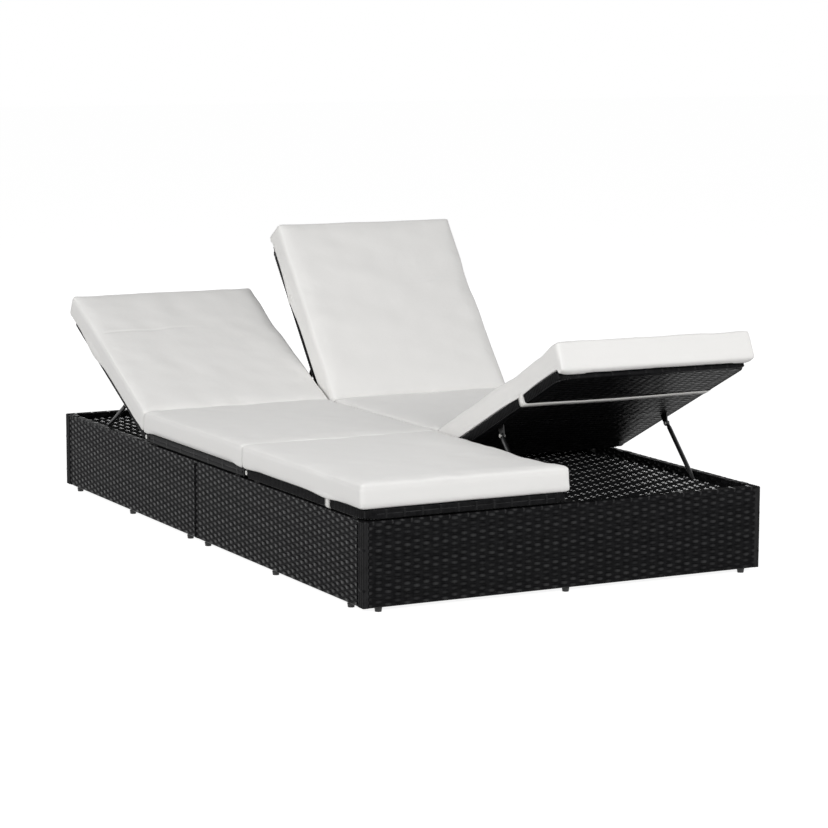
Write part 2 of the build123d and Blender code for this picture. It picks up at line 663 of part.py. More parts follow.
for name, (plane, length, pivot, rod, ratio, max_angle) in panels.items():
    near = hinge_half_gap
    with BuildPart() as panel_frame:
        panel_ring(plane, near, length, hinge_corner, panel_corner)
        ring_in = panel_width / 2 - skin - panel_tube
        tube_bar(plane, (-ring_in, ring_in), (pivot - panel_tube / 2, pivot + panel_tube / 2), panel_depth)
        for ear_x in (panel_ear_x, -panel_ear_x - ear_plate):
            hinge_ear(plane, ear_x, near + skin)
        for ear_x in (prop_ear_x, -prop_ear_x - ear_plate):
            prop_ear(plane, ear_x, pivot)
    save(panel_frame, f"{name}_frame")

    with BuildPart() as panel_weave:
        panel_block(plane, 0, near, length, -half_panel, half_panel, hinge_corner, panel_corner)
        core = half_panel - weave_skin
        radii = (hinge_corner, panel_corner)
        panel_block(plane, weave_skin, near, length, -core, core, *radii, mode=Mode.SUBTRACT)
        for ear_x in (panel_ear_x, -panel_ear_x - ear_plate):
            slot_x = (ear_x - skin_clearance, ear_x + ear_plate + skin_clearance)
            slot_z = (-ear_radius - skin_clearance, ear_radius + skin_clearance)
            block(plane, slot_x, (near - 1, near + skin), slot_z, mode=Mode.SUBTRACT)
        for ear_x in (prop_ear_x, -prop_ear_x - ear_plate):
            slot_x = (ear_x - skin_clearance, ear_x + ear_plate + skin_clearance)
            slot_y = (pivot - 2 * ear_radius - skin_clearance, pivot + 2 * ear_radius + skin_clearance)
            block(plane, slot_x, slot_y, (-half_panel - 1, -half_panel + skin), mode=Mode.SUBTRACT)
    save(panel_weave, f"{name}_weave")

    with BuildPart() as panel_cushion:
        outward = -1 if name in ("left_back", "right_foot") else 1
        cushion(plane, outward, 0, length + cushion_reach[name], max_angle / 2, None)
    save(panel_cushion, f"{name}_cushion")

    strap_low = -half_panel - strap_gap - strap_thickness
    strap_half = panel_width / 2 + strap_gap
    strap_y = (length - strap_from_end - strap_width / 2, length - strap_from_end + strap_width / 2)
    with BuildPart() as strap:
        outer = strap_half + strap_thickness
        inside_up = (-half_panel - strap_gap, half_panel)
        block(plane, (-outer, outer), strap_y, (strap_low, half_panel))
        block(plane, (-strap_half, strap_half), strap_y, inside_up, mode=Mode.SUBTRACT)
    save(strap, f"{name}_strap")

    with BuildPart() as prop_bolts:
        for facing in (-1, 1):
            axis = Plane(
                origin=plane.from_local_coords((facing * prop_ear_x, pivot, -pivot_drop)),
                x_dir=plane.y_dir, z_dir=plane.x_dir * facing,
            )
            head = ear_plate + eye_thickness + 2 * side_play
            round_bar(axis, bolt_radius, -nut_thickness - 1, head)
            round_bar(axis, prop_bolt_head_radius, head, head + prop_bolt_head)
            with BuildSketch(axis.offset(-nut_thickness)):
                RegularPolygon(nut_width / 2, 6, major_radius=False)
                Circle(bolt_radius + running_clearance, mode=Mode.SUBTRACT)
            extrude(amount=nut_thickness)
    save(prop_bolts, f"{name}_prop_bolts")

    turn = radians(rod_start_angle + ratio * rest_angle[name])
    for facing in (-1, 1):
        world_x = plane.x_dir.X * facing * (-1 if name.startswith("left") else 1)
        side_word = "outer" if world_x > 0 else "inner"
        axis = Plane(
            origin=plane.from_local_coords((facing * prop_x, pivot, -pivot_drop)),
            x_dir=plane.y_dir * cos(turn) - plane.z_dir * sin(turn), z_dir=plane.x_dir,
        )
        half_eye = eye_thickness / 2
        with BuildPart() as prop:
            with BuildSketch(axis) as outline:
                with BuildLine():
                    Line((0, 0), (0, rod_radius))
                    Line((0, rod_radius), (rod, rod_radius))
                    slant = rod_radius * cos(radians(45))
                    ThreePointArc((rod, rod_radius), (rod + slant, slant), (rod + rod_radius, 0))
                    Line((rod + rod_radius, 0), (0, 0))
                make_face()
            revolve(outline.sketch, axis=Axis(axis.origin, axis.x_dir))
            flat_end = (-2 * eye_radius, 2 * eye_radius)
            for cheek in ((half_eye, 2 * rod_radius), (-2 * rod_radius, -half_eye)):
                block(axis, flat_end, (-eye_radius, eye_radius), cheek, mode=Mode.SUBTRACT)
            round_bar(axis, eye_radius, -half_eye, half_eye)
            round_bar(axis, bolt_radius + running_clearance, -half_eye, half_eye, mode=Mode.SUBTRACT)
        save(prop, f"{name}_{side_word}_prop")

# Hinge bolts with their bright heads outwards, and their nuts
with BuildPart() as hinge_bolts:
    for side in sides.values():
        for hinge_y in (back_hinge_y, foot_hinge_y):
            for facing in (-1, 1):
                seat = Vector(side * panel_centre + facing * (seat_ear_x + ear_plate), hinge_y, hinge_z)
                axis = Plane(origin=seat, x_dir=(0, 1, 0), z_dir=(facing, 0, 0))
                reach = 2 * ear_plate + 2 * side_play + nut_thickness
                round_bar(axis, bolt_radius, -reach, 0)
                round_bar(axis, bolt_head_radius, 0, bolt_head)
                with BuildSketch(axis.offset(bolt_head - socket_depth)):
                    RegularPolygon(socket_width / 2, 6, major_radius=False)
                extrude(amount=socket_depth, mode=Mode.SUBTRACT)
save(hinge_bolts, "hinge_bolts")

with BuildPart() as hinge_nuts:
    for side in sides.values():
        for hinge_y in (back_hinge_y, foot_hinge_y):
            for facing in (-1, 1):
                inset = 2 * side_play + ear_plate + nut_thickness
                seat = Vector(side * panel_centre + facing * (seat_ear_x - inset), hinge_y, hinge_z)
                axis = Plane(origin=seat, x_dir=(0, 1, 0), z_dir=(facing, 0, 0))
                with BuildSketch(axis):
                    RegularPolygon(nut_width / 2, 6, major_radius=False)
                    Circle(bolt_radius + running_clearance, mode=Mode.SUBTRACT)
                extrude(amount=nut_thickness)
save(hinge_nuts, "hinge_nuts")

# Rubber buffers on the rim and the beam, which the panels lie on
with BuildPart() as panel_buffers:
    top = panel_gap - seat_gap
    for side in sides.values():
        for x in (base_width / 2 - side_wall / 2, beam_half - buffer_width / 2 - 1):
            ends = (
                -base_length / 2 + buffer_end, foot_hinge_y - buffer_end,
                foot_hinge_y + buffer_end, back_hinge_y - buffer_end,
                back_hinge_y + buffer_end, base_length / 2 - buffer_end,
            )
            for y in ends:
                span_x = (side * x - buffer_width / 2, side * x + buffer_width / 2)
                block(Plane((0, 0, rim_z)), span_x, (y - buffer_length / 2, y + buffer_length / 2), (0, top))
save(panel_buffers, "panel_buffers")
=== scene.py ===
# Double chaise lounger: woven base and panels, padded cushions, steel props, in metres
import json
import math

import bmesh
import bpy
import numpy as np
from mathutils import Matrix, Vector


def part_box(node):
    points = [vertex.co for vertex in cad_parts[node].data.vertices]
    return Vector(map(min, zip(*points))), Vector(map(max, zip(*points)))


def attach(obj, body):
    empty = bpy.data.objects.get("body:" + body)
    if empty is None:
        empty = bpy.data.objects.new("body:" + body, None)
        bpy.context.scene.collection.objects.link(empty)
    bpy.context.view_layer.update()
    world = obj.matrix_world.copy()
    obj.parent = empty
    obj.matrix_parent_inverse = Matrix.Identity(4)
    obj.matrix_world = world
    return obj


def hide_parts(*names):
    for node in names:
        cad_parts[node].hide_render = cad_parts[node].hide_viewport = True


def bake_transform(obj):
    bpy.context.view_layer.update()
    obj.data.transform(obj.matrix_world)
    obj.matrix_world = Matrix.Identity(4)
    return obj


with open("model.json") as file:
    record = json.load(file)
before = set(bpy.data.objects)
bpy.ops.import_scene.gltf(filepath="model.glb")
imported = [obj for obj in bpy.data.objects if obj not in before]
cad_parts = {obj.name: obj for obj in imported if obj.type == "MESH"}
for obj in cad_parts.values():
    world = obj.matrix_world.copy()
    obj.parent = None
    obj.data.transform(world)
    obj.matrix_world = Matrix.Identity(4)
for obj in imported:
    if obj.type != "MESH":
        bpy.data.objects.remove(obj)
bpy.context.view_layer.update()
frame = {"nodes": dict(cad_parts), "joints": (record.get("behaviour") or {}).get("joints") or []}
mm = 0.001
sides = ("left", "right")
axes = (Vector((1, 0, 0)), Vector((0, 1, 0)), Vector((0, 0, 1)))

# Weave, measured on the photograph: strands 8 mm apart over stakes about 26 mm apart
strand_pitch = 8 * mm
strand_width = 8.6 * mm
strand_crown = 1.2 * mm
stake_pitch = 25.6 * mm
stake_width = 7.5 * mm
weave_rise = 2.0 * mm
weave_sink = 1.1 * mm
deck_pitch = 12.5 * mm
deck_width = 11.2 * mm
deck_stakes = 24.25 * mm
border = 14 * mm
free_corner = 35 * mm
turn_half = 8 * mm
side_tie_pitch = 93 * mm
end_tie_pitch = 51 * mm

# How far in the dark filler box sits (painted shade inside the weave), how deep stakes and borders lie, how
# far the rims and faces reach, and the turns round tubes
shade_core_inset = 5.6 * mm
stake_sink = 3.4 * mm
border_sink = 1.2 * mm
rim_height = 5 * mm
wall_foot = 4 * mm
wall_ties = (45 * mm, 145 * mm)
inner_face = 60 * mm
panel_inset = 10 * mm
turn_width = 7.4 * mm
turn_crown = 1.4 * mm
turn_radius = 5 * mm
tie_crown = 0.5 * mm
hand_wander = 0.12 * mm

# Cushions: their mesh before and after they swell, and what is then worked in
voxel = 7 * mm
pad_slack = Vector((10 * mm, 8 * mm, 2 * mm))
pad_round = 7 * mm
swell_cap = 5.5 * mm
swell_frames = 20
fold_lift = 4.5 * mm
ripples = 14
ripple_height = 0.22 * mm
seam_width = 1.6 * mm
seam_depth = 1.1 * mm

# Straps: how far from a panel's free end they lie, and how far their sewn ends overlap
strap_from_end = 200 * mm
strap_lap = 85 * mm

# Camera, solved from the base's corners in the photograph
camera_place = (-3.533, -6.909, 1.456)
camera_yaw, camera_pitch, camera_roll = 27.66, 8.35, 0.21
camera_lens = 122.4


# Materials

def linear(code):
    """A colour written as an sRGB hex value, as Blender's linear red, green, blue and alpha."""
    parts = [int(code[i:i + 2], 16) / 255 for i in (1, 3, 5)]
    return [c / 12.92 if c <= 0.04045 else ((c + 0.055) / 1.055) ** 2.4 for c in parts] + [1.0]


def new_material(name, base, roughness, **settings):
    material = bpy.data.materials.new(name)
    material.use_nodes = True
    shader = material.node_tree.nodes["Principled BSDF"]
    shader.inputs["Base Color"].default_value = linear(base)
    shader.inputs["Roughness"].default_value = roughness
    for key, value in settings.items():
        shader.inputs[key.replace("_", " ")].default_value = value
    return material, shader


def add(tree, kind, links=(), values=(), **settings):
    """A node of that kind, with its settings, its input values and links from other nodes' sockets."""
    node = tree.nodes.new(kind)
    for key, value in settings.items():
        setattr(node, key, value)
    for key, value in dict(values).items():
        node.inputs[key].default_value = value
    for key, socket in dict(links).items():
        tree.links.new(socket, node.inputs[key])
    return node


def noise(tree, place, scale, **values):
    """Noise in the object's own coordinates."""
    return add(tree, "ShaderNodeTexNoise", {"Vector": place.outputs["Object"]}, {"Scale": scale, **values})


def bumped(tree, shader, height, strength, distance):
    """A bump that follows the height."""
    bump = add(tree, "ShaderNodeBump", {"Height": height}, {"Strength": strength, "Distance": distance})
    tree.links.new(bump.outputs[0], shader.inputs["Normal"])


def rattan(name, dull, shine, coat=0.0):
    """Extruded polyethylene strand, black, with fine ridges from the die.

    The attribute bend says how far a strand stands out: dull below, shine where it bends over a stake,
    and coat adds the polish of the wider deck strands.
    """
    material, shader = new_material(name, "#111112", 0.36, Coat_IOR=4.0, Coat_Roughness=0.16)
    tree = material.node_tree
    bend = add(tree, "ShaderNodeAttribute", attribute_name="bend")
    raised = bend.outputs["Fac"]
    recess = add(tree, "ShaderNodeMapRange", {"Value": raised}, {1: -1.0, 2: -0.2, 3: 1.02, 4: dull})
    worn = add(tree, "ShaderNodeMapRange", {"Value": raised}, {1: 0.25, 2: 0.9, 4: shine - dull})
    skin = add(tree, "ShaderNodeMath", {0: recess.outputs[0], 1: worn.outputs[0]}, operation="ADD")
    tree.links.new(skin.outputs[0], shader.inputs["IOR"])
    if coat:
        polish = add(tree, "ShaderNodeMapRange", {"Value": raised}, {1: 0.2, 2: 0.5, 4: coat})
        tree.links.new(polish.outputs[0], shader.inputs["Coat Weight"])
    uv = add(tree, "ShaderNodeUVMap", uv_map="strand")
    grain = add(tree, "ShaderNodeMapping", {"Vector": uv.outputs[0]}, {"Scale": (40, 1200, 1)})
    ridges = add(tree, "ShaderNodeTexNoise", {"Vector": grain.outputs[0]}, {"Scale": 1.0, "Detail": 2.0})
    place = add(tree, "ShaderNodeTexCoord")
    cloud = noise(tree, place, 60.0)
    tone = add(tree, "ShaderNodeValToRGB", {"Fac": cloud.outputs["Fac"]})
    tone.color_ramp.elements[0].color = linear("#101011")
    tone.color_ramp.elements[0].position = 0.3
    tone.color_ramp.elements[1].color = linear("#1c1c1d")
    tone.color_ramp.elements[1].position = 0.7
    gloss = add(tree, "ShaderNodeMapRange", {"Value": cloud.outputs["Fac"]}, {3: 0.26, 4: 0.42})
    tree.links.new(tone.outputs[0], shader.inputs["Base Color"])
    tree.links.new(gloss.outputs[0], shader.inputs["Roughness"])
    bumped(tree, shader, ridges.outputs["Fac"], 0.35, 0.2 * mm)
    return material


def cushion_fabric():
    """Woven polyester cover, off-white, with a fine plain weave and soft creases."""
    material, shader = new_material("woven_polyester_cover", "#e9e8e6", 0.85, IOR=1.45)
    shader.inputs["Sheen Weight"].default_value = 0.15
    shader.inputs["Sheen Roughness"].default_value = 0.5
    tree = material.node_tree
    place = add(tree, "ShaderNodeTexCoord")
    crease = noise(tree, place, 9.0, Detail=3.0)
    # The real threads are 0.5 mm apart; they are drawn 1.6 mm apart so that they show
    thread = add(tree, "ShaderNodeTexWave", {"Vector": place.outputs["Object"]}, {"Scale": 98.0},
                 wave_type="BANDS", bands_direction="X")
    weft = add(tree, "ShaderNodeTexWave", {"Vector": place.outputs["Object"]}, {"Scale": 98.0},
               wave_type="BANDS", bands_direction="Y")
    weave = add(tree, "ShaderNodeMath", {0: thread.outputs["Fac"], 1: weft.outputs["Fac"]},
                operation="MULTIPLY")
    fine = add(tree, "ShaderNodeBump", {"Height": weave.outputs[0]}, {"Strength": 0.15, "Distance": 0.3 * mm})
    soft = add(tree, "ShaderNodeBump", {"Height": crease.outputs["Fac"], "Normal": fine.outputs[0]},
               {"Strength": 0.25, "Distance": 10 * mm})
    tree.links.new(soft.outputs[0], shader.inputs["Normal"])
    return material


def elastic():
    """Knitted elastic webbing, white, with ribs along its length."""
    material, shader = new_material("knitted_elastic_webbing", "#e4e3e0", 0.7)
    tree = material.node_tree
    uv = add(tree, "ShaderNodeUVMap", uv_map="strand")
    rib = add(tree, "ShaderNodeTexWave", {"Vector": uv.outputs[0]}, {"Scale": 65.0}, bands_direction="Y")
    bumped(tree, shader, rib.outputs["Fac"], 0.4, 0.4 * mm)
    return material


def powder_coat(name, base):
    """Powder-coated steel tube, black, with the fine orange peel of a baked coat."""
    material, shader = new_material(name, base, 0.38, IOR=1.5)
    tree = material.node_tree
    place = add(tree, "ShaderNodeTexCoord")
    peel = noise(tree, place, 700.0, Detail=1.0)
    wear = noise(tree, place, 25.0, Detail=4.0)
    gloss = add(tree, "ShaderNodeMapRange", {"Value": wear.outputs["Fac"]}, {3: 0.28, 4: 0.46})
    tree.links.new(gloss.outputs[0], shader.inputs["Roughness"])
    bumped(tree, shader, peel.outputs["Fac"], 0.2, 0.2 * mm)
    return material


def zinc():
    """Zinc-plated steel bolts, bright, with dulled spots."""
    material, shader = new_material("zinc_plated_steel", "#c9c9c6", 0.25, Metallic=1.0)
    tree = material.node_tree
    place = add(tree, "ShaderNodeTexCoord")
    spots = noise(tree, place, 400.0, Detail=3.0)
    gloss = add(tree, "ShaderNodeMapRange", {"Value": spots.outputs["Fac"]}, {3: 0.16, 4: 0.4})
    tree.links.new(gloss.outputs[0], shader.inputs["Roughness"])
    return material


def moulded(name, base, roughness):
    """Moulded black plastic or rubber with a fine spark-eroded grain."""
    material, shader = new_material(name, base, roughness)
    tree = material.node_tree
    place = add(tree, "ShaderNodeTexCoord")
    grain = noise(tree, place, 900.0)
    bumped(tree, shader, grain.outputs["Fac"], 0.3, 0.2 * mm)
    return material


rattan_strand = rattan("extruded_polyethylene_strand", 1.1, 1.35)
deck_strand = rattan("polished_polyethylene_strand", 1.04, 1.5, coat=1.0)
cover_cloth = cushion_fabric()
strap_elastic = elastic()
frame_coat = powder_coat("powder_coated_frame", "#151516")
prop_coat = powder_coat("powder_coated_prop", "#101011")
bright_zinc = zinc()
foot_plastic = moulded("moulded_polypropylene", "#141414", 0.5)
buffer_rubber = moulded("moulded_rubber", "#101010", 0.7)


# Strands

def straight(start, along, out, length):
    """A straight route: at t from 0 to 1, its points and outward directions."""
    start, along, out = (np.array(v, float) for v in (start, along, out))

    def route(t):
        return start + np.multiply.outer(t * length, along), np.broadcast_to(out, t.shape + (3,))
    return route


def round_tube(centre, axis_a, axis_b, half_a, half_b, radius):
    """A closed route round a rounded rectangle."""
    centre, axis_a, axis_b = (np.array(v, float) for v in (centre, axis_a, axis_b))

    def route(t):
        turn = 2 * np.pi * t + np.pi / 16
        c, s = np.cos(turn), np.sin(turn)
        a = np.sign(c) * (half_a - radius) + radius * c
        b = np.sign(s) * (half_b - radius) + radius * s
        points = centre + np.multiply.outer(a, axis_a) + np.multiply.outer(b, axis_b)
        return points, np.multiply.outer(c, axis_a) + np.multiply.outer(s, axis_b)
    return route


def lay(bm, route, step, rows, width, pieces, lift=None, crown=strand_crown, share=None, closed=False, seed=1,
        rim=0.6, plain_bend=0):
    """Lays rows of flat strands along a route, each a closed strip with a crowned face.

    step is the shift from row to row. lift(t, row) raises a strand off the route, and share(row) is the
    part of the route that a row covers. Each strand wanders a little, as woven by hand. The polish where a
    strand bulges fades by rim towards its edges; plain_bend is the polish of a strand without a lift.
    """
    strip = bmesh.new()
    bmesh.ops.create_grid(strip, x_segments=pieces, y_segments=3, size=0.5)
    if rows > 1:
        first = strip.verts[:] + strip.edges[:] + strip.faces[:]
        bmesh.ops.spin(strip, geom=first, angle=0, steps=rows - 1, axis=(0, 0, 1), cent=(0, 0, 0),
                       dvec=(0, 2, 0), use_duplicate=True)
    mesh = bpy.data.meshes.new("strip")
    strip.to_mesh(mesh)
    strip.free()
    grid = np.empty(len(mesh.vertices) * 3)
    mesh.vertices.foreach_get("co", grid)
    grid = grid.reshape(-1, 3)
    row = np.floor((grid[:, 1] + 0.6) / 2)
    edge = np.rint((grid[:, 1] + 0.5 - 2 * row) * 3).astype(int)
    t = grid[:, 0] + 0.5
    if share is not None:
        t = 0.5 + (t - 0.5) * share(row)
    step = np.array(step, float)
    across = step / np.linalg.norm(step)
    random = np.random.default_rng(seed)
    phase = random.uniform(0, 2 * np.pi, (3, rows))[:, row.astype(int)]
    full = random.uniform(0.85, 1.15, rows)[row.astype(int)]
    points, out = route(t)
    long = np.linalg.norm(np.diff(route(np.linspace(0, 1, 33))[0], axis=0), axis=1).sum()
    swing = np.sin(t * long * 47 + phase[0]) + np.sin(t * long * 19 + phase[1])
    wander = 0 if closed else swing * hand_wander
    sideways = np.array([-0.5, 0.0, 0.5, -0.5])[edge] * width + wander
    height = np.array([0.0, 1.0, 0.0, 0.0])[edge] * crown
    bend = mesh.attributes.new("bend", "FLOAT", "POINT")
    if lift is None:
        bend.data.foreach_set("value", np.full(len(t), plain_bend, np.float32))
    else:
        raised = lift(t, row)
        bent = raised / np.abs(raised).max() - np.where(edge == 1, 0, rim)
        bend.data.foreach_set("value", bent.astype(np.float32))
        height = height + raised * full
    shift = np.multiply.outer(row, step) + np.multiply.outer(sideways, across)
    mesh.vertices.foreach_set("co", (points + shift + out * height[:, None]).ravel())
    layer = mesh.uv_layers.new(name="strand")
    corner = np.empty(len(mesh.loops), int)
    mesh.loops.foreach_get("vertex_index", corner)
    uv = np.stack([t * long + row * 0.37, sideways - wander], 1)[corner]
    layer.data.foreach_set("uv", uv.ravel())
    strip = bmesh.new()
    strip.from_mesh(mesh)
    bpy.data.meshes.remove(mesh)
    bmesh.ops.remove_doubles(strip, verts=strip.verts[:], dist=0.02 * mm)
    ends = [e for e in strip.edges if e.is_boundary]
    if ends:
        bmesh.ops.holes_fill(strip, edges=ends, sides=4)
    bmesh.ops.recalc_face_normals(strip, faces=strip.faces[:])
    mesh = bpy.data.meshes.new("strip")
    strip.to_mesh(mesh)
    strip.free()
    bm.from_mesh(mesh)
    bpy.data.meshes.remove(mesh)


def plain_weave(stakes, rise=weave_rise):
    """One over, one under, neighbours on opposite sides of each stake, some fuller than others."""
    def lift(t, row):
        place = t * stakes
        wave = np.cos(np.pi * (place + row))
        uneven = 1 + 0.2 * np.sin(np.rint(place) * 12.7 + row * 5.3)
        return rise * np.where(wave > 0, uneven, -0.4) * np.abs(wave) ** 0.8
    return lift


def twill(stakes, rise=3.0 * mm):
    """Two over, two under, each strand one stake further on, with a bulge at each stake."""
    def lift(t, row):
        place = t * stakes - row
        over = np.clip(1.6 * np.cos(np.pi / 2 * (place - 0.5)), -0.25, 0.9)
        bulge = np.exp(-((place - np.rint(place)) / 0.17) ** 2)
        return rise * np.where(over > 0, over * bulge / 0.9, over)
    return lift


def woven_face(bm, start, along, across, out, length, height, seed, detail=4, pitch=strand_pitch,
               stakes_apart=stake_pitch, lift=plain_weave, width=None, share=None, crown=0.8 * mm, rim=0.35):
    """A woven rectangle: strands along one way, laid side by side across, over stakes behind them."""
    start, along, across, out = (Vector(v) for v in (start, along, across, out))
    rows = max(1, round(height / pitch))
    stakes = max(2, round(length / stakes_apart))
    step = height / rows
    width = (width or strand_width) * step / pitch
    centre = start + across * (step / 2) - out * weave_sink
    lay(bm, straight(centre, along, out, length), across * step, rows, width, stakes * detail,
        lift(stakes), crown, share, seed=seed, rim=rim)
    gap = length / stakes
    foot = start + along * gap - out * stake_sink
    lay(bm, straight(foot, across, out, height), along * gap, stakes - 1, stake_width, 2, seed=seed + 1)


def as_piece(bm, name, material, body, nodes=(), crisp=None):
    """Makes the mesh an object that rides on its CAD body and stands for those CAD nodes.

    Edges sharper than crisp degrees stay sharp, so that the gaps between strands read as dark lines.
    """
    mesh = bpy.data.meshes.new(name)
    bm.to_mesh(mesh)
    bm.free()
    mesh.shade_smooth()
    if crisp:
        mesh.set_sharp_from_angle(angle=math.radians(crisp))
    piece = bpy.data.objects.new(name, mesh)
    bpy.context.scene.collection.objects.link(piece)
    mesh.materials.append(material)
    if body:
        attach(piece, body)
    if nodes:
        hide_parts(*nodes)
    return piece


def shade_core(bm, low, high):
    """A dark filler box behind the strands: painted shade for the shaded hollow inside the weave, which also
    hides the floor's glow seen through the gaps.
    """
    inset = Vector((shade_core_inset,) * 3)
    size = high - low - 2 * inset
    box = bmesh.ops.create_cube(bm, size=1.0)["verts"]
    bmesh.ops.scale(bm, vec=size, verts=box)
    bmesh.ops.translate(bm, vec=(low + high) / 2, verts=box)


# Walls: the long sides in two halves each, and the two ends across the full width

def wall(name):
    low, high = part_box(f"{name}_weave")
    end_wall = name.endswith("end")
    along = Vector((1, 0, 0)) if end_wall else Vector((0, 1, 0))
    middle = (low + high) / 2
    outward = Vector((math.copysign(1, middle.x), 0, 0))
    if end_wall:
        outward = Vector((0, math.copysign(1, middle.y), 0))
    up = axes[2]
    length = (high - low).dot(along)
    depth = abs((high - low).dot(outward))
    height = high.z - low.z
    edge = border if end_wall else strand_pitch
    strips = 2 if end_wall else 1
    wide = edge / strips
    bm = bmesh.new()
    shade_core(bm, low, high)
    seed = len(name) * 7 + int(middle.x * 10) + int(middle.y * 30)
    for face, out in ((1, outward), (-1, -outward)):
        bottom = wall_foot if face > 0 else height - inner_face
        corner = low.copy()
        if out.dot(Vector((1, 1, 1))) > 0:
            corner += out * depth
        start = corner + along * edge + up * bottom
        reach = height - rim_height - bottom
        woven_face(bm, start, along, up, out, length - 2 * edge, reach, abs(seed) + face)
        for end in (0, 1):
            first = corner + along * (wide / 2 if end == 0 else length - edge + wide / 2) - out * border_sink
            lay(bm, straight(first + up * 2 * mm, up, out, height - 4 * mm), along * wide, strips,
                wide * 0.96, 24, seed=abs(seed) + 5 + end, plain_bend=0.6 if end_wall else -1)
    # Rim strands laid lengthwise over the top edge, tied down at every second stake
    top = middle + up * (height / 2)
    begin = top - along * (length / 2 - 1 * mm)
    strips = max(2, round(depth / strand_pitch))
    wide = depth / strips
    first = begin - outward * (depth / 2 - wide / 2) - up * 1.0 * mm
    lay(bm, straight(first, along, up, length - 2 * mm), outward * wide, strips, wide * 0.98,
        int(length / (20 * mm)), seed=3, plain_bend=-1)
    ties = int(length / (2 * stake_pitch))
    gap = length / ties

    def between_ties(t, row):
        return 1.0 * mm * np.maximum(np.cos(2 * np.pi * t * ties), 0) ** 2

    for face in (-1, 1):
        first = begin + outward * face * (depth / 2 - border_sink) - up * 3 * mm
        lay(bm, straight(first, along, outward * face, length - 2 * mm), up * wide, 1, 5 * mm,
            12 * ties, between_ties, crown=0.8 * mm, seed=4, rim=0.2)
    centre = top - along * (length / 2 - gap / 2) - up * rim_height
    ring = round_tube(centre, outward, up, depth / 2 - 0.3 * mm, rim_height, 2 * mm)
    lay(bm, ring, along * gap, ties, 5 * mm, 16, crown=tie_crown, closed=True, seed=6, plain_bend=0.7)
    if end_wall:
        for side in (-1, 1):
            out = Vector((side, 0, 0))
            corner = middle + out * (length / 2) - outward * (depth / 2) - up * (height / 2)
            wide = depth / 3
            first = corner + outward * (wide / 2) + up * 2 * mm + out * 0.2 * mm
            lay(bm, straight(first, up, out, height - 4 * mm), outward * wide, 3, wide * 0.98, 24, seed=9)
            for tie in wall_ties:
                centre = corner + outward * (depth / 2) + up * tie - out * 2 * mm
                ring = round_tube(centre, outward, out, depth / 2 - 0.2 * mm, 3.2 * mm, 2 * mm)
                lay(bm, ring, up, 1, 7 * mm, 16, crown=tie_crown, closed=True)
    return as_piece(bm, f"{name}_strands", rattan_strand, "base", [f"{name}_weave"], crisp=60)


for wall_name in ("left_front", "left_rear", "right_front", "right_rear", "foot_end", "head_end"):
    wall(wall_name)


# Decks: a shelf of wider strands woven two over, two under

def deck(name):
    low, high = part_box(f"{name}_deck_weave")
    size = high - low
    bm = bmesh.new()
    shade_core(bm, low, high)
    edge = strand_pitch
    x, y, z = axes
    top = Vector((low.x + edge, low.y + edge, high.z))
    woven_face(bm, top, x, y, z, size.x - 2 * edge, size.y - 2 * edge, 11, pitch=deck_pitch, detail=5,
               stakes_apart=deck_stakes, lift=twill, width=deck_width, crown=2.2 * mm, rim=0.1)
    under = Vector((low.x + edge, high.y - edge, low.z))
    woven_face(bm, under, x, -y, -z, size.x - 2 * edge, size.y - 2 * edge, 13, detail=2, pitch=deck_pitch,
               stakes_apart=deck_stakes, lift=twill, width=deck_width)
    for end in (0, 1):
        first = Vector((low.x + (end * (size.x - edge)) + edge / 2, low.y, high.z - 10 * mm))
        ring = round_tube(first, x, z, edge / 2, 9.5 * mm, 3 * mm)
        lay(bm, ring, y * deck_pitch, int(size.y / deck_pitch), 10 * mm, 16, closed=True)
        first = Vector((low.x, low.y + (end * (size.y - edge)) + edge / 2, high.z - 10 * mm))
        ring = round_tube(first, y, z, edge / 2, 9.5 * mm, 3 * mm)
        lay(bm, ring, x * stake_pitch / 3, int(size.x / (stake_pitch / 3)), strand_width, 16, closed=True)
    return as_piece(bm, f"{name}_deck_strands", deck_strand, "base", [f"{name}_deck_weave"])


for deck_name in ("left_front", "right_front", "left_rear", "right_rear"):
    deck(deck_name)


# Panels: each in its own frame, with x across, y away from the hinge and z up from its top face

joints = {joint["name"]: joint for joint in frame["joints"]}


def panel_place(name):
    """The panel's own frame: its origin on the hinge axis, its second axis along the panel."""
    if name.endswith("seat"):
        low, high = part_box(f"{name}_weave")
        middle = (low + high) / 2
        return Matrix.Translation(Vector((middle.x, 0, joints["left_back_hinge"]["pos_m"][2])))
    joint = joints[f"{name}_hinge"]
    lift = math.radians(-joint["range_deg"][0])
    turn = Matrix.Rotation(lift, 4, "X")
    if joint["axis"][0] < 0:
        turn = Matrix.Rotation(math.pi, 4, "Z") @ turn
    return Matrix.Translation(Vector(joint["pos_m"])) @ turn


def local_box(node, place):
    """A CAD node's box in the panel's own frame."""
    into = place.inverted()
    points = np.array([into @ v.co for v in frame["nodes"][node].data.vertices])
    return Vector(points.min(0)), Vector(points.max(0))


